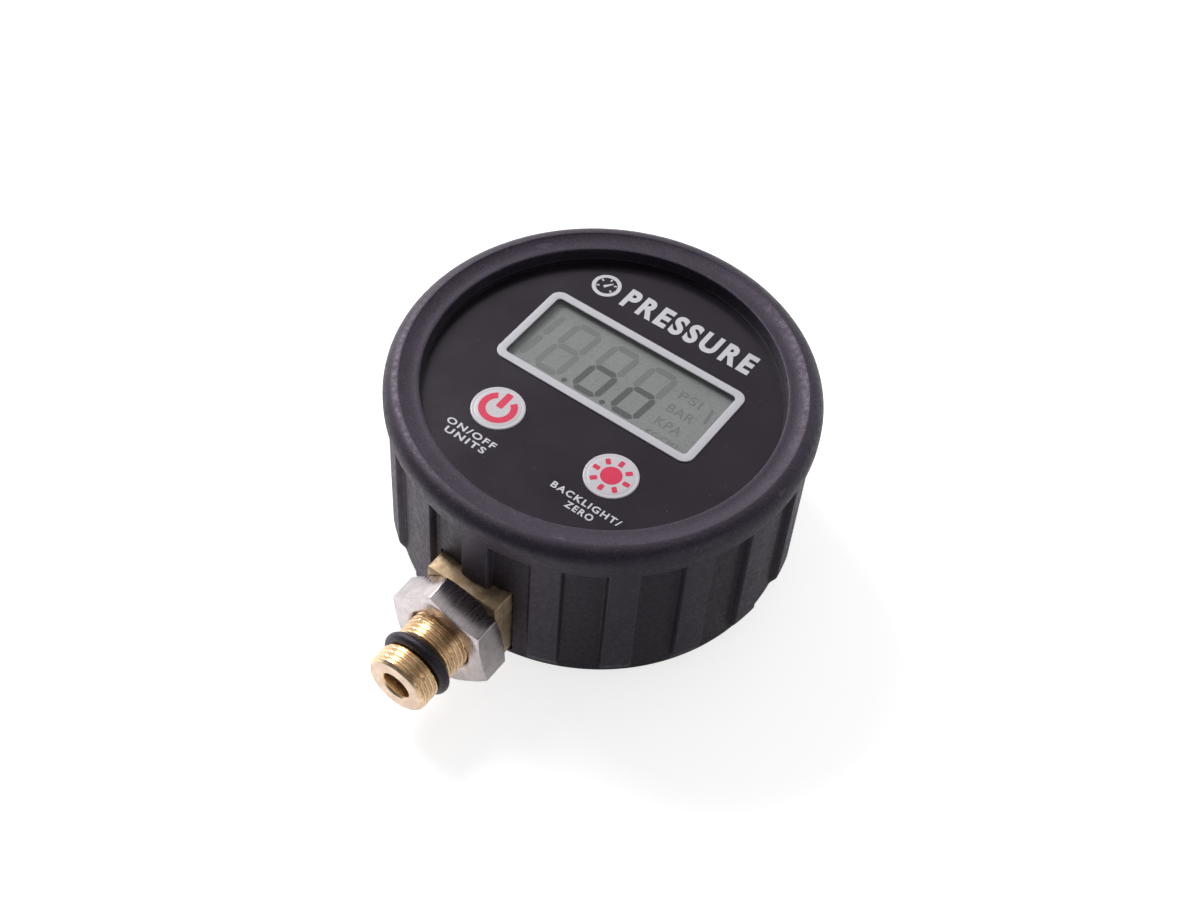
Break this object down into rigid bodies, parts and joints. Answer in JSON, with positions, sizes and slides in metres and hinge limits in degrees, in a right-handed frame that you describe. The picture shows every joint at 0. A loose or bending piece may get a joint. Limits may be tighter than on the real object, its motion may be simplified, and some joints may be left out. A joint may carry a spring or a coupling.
{
  "type": "digital pressure gauge",
  "caption": "Round digital pressure gauge head in a ribbed rubber boot, with a recessed display, two buttons and a threaded brass side stem with lock nut and sealing ring.",
  "frame": {"origin": "centre of the flat back face, on the axis of the round body", "axes": "+Z out of the display face, +Y to the display's 12 o'clock, +X to its right; the threaded stem points along -Y"},
  "size_m": [0.078, 0.0978, 0.0381],
  "materials": {
    "boot_rubber": "moulded black rubber, matt with a fine grain",
    "case_plastic": "moulded black ABS, lightly textured",
    "face_gloss": "glossy black printed overlay",
    "silver_trim": "satin silver paint",
    "button_silver": "satin silver white plastic with a red printed symbol",
    "clear_window": "clear polycarbonate",
    "lcd_glass": "grey-green reflective display glass",
    "white_plastic": "white moulded plastic",
    "zebra_rubber": "striped conductive elastomer",
    "board_laminate": "green solder mask on glass laminate",
    "chip_black": "moulded epoxy",
    "brass": "turned and milled brass",
    "nickel": "nickel-plated brass with turning marks",
    "steel": "zinc-plated steel",
    "seal_rubber": "black nitrile rubber, slightly glossy",
    "cell_jacket": "plain printed cell jacket",
    "cable_sleeve": "sleeved sensor cable"
  },
  "bodies": {
    "gauge": {"amplifier_chip": "chip_black", "back_cover": "case_plastic", "backlight_panel": "white_plastic", "block_screw_1": "steel", "block_screw_2": "steel", "board_screw_1": "steel", "board_screw_2": "steel", "board_screw_3": "steel", "bridge_contact": "steel", "case_gasket": "seal_rubber", "case_screw_1": "steel", "case_screw_2": "steel", "case_screw_3": "steel", "case_screw_4": "steel", "cell_1": "cell_jacket", "cell_2": "cell_jacket", "circuit_board": "board_laminate", "connector_block": "brass", "contact_spring_1": "steel", "contact_spring_2": "steel", "controller_chip": "chip_black", "display_window": "clear_window", "face_panel": "face_gloss", "front_case": "case_plastic", "lcd_glass": "lcd_glass", "lcd_holder": "white_plastic", "light_switch_body": "chip_black", "negative_contact": "steel", "o_ring": "seal_rubber", "positive_contact": "steel", "power_switch_body": "chip_black", "pressure_sensor": "steel", "rubber_boot": "boot_rubber", "sensor_cable": "cable_sleeve", "sensor_retainer": "brass", "sensor_seal": "seal_rubber", "window_frame": "silver_trim", "zebra_strip_lower": "zebra_rubber", "zebra_strip_upper": "zebra_rubber"},
    "power_button": {"power_button": "button_silver", "power_switch_plunger": "white_plastic"},
    "light_button": {"light_button": "button_silver", "light_switch_plunger": "white_plastic"},
    "jam_nut": {"jam_nut": "nickel"},
    "battery_door": {"battery_door": "case_plastic"},
    "battery_door_screw": {"battery_door_screw": "steel"}
  },
  "joints": [
    {"name": "power_button_press", "type": "slide", "parent": "gauge", "child": "power_button", "axis": [0, 0, -1], "range_m": [0, 0.0005], "stiffness_N_per_m": 1500},
    {"name": "light_button_press", "type": "slide", "parent": "gauge", "child": "light_button", "axis": [0, 0, -1], "range_m": [0, 0.0005], "stiffness_N_per_m": 1500},
    {"name": "jam_nut_turn", "type": "hinge", "parent": "gauge", "child": "jam_nut", "pos_m": [0, -0.04405, 0.01085], "axis": [0, -1, 0], "range_deg": [-216, 1764]},
    {"name": "battery_door_lift", "type": "slide", "parent": "gauge", "child": "battery_door", "axis": [0, 0, -1], "range_m": [0, 0.012]},
    {"name": "battery_door_screw_turn", "type": "hinge", "parent": "battery_door", "child": "battery_door_screw", "pos_m": [0, 0.0244, 0.002], "axis": [0, 0, -1], "continuous": true}
  ]
}
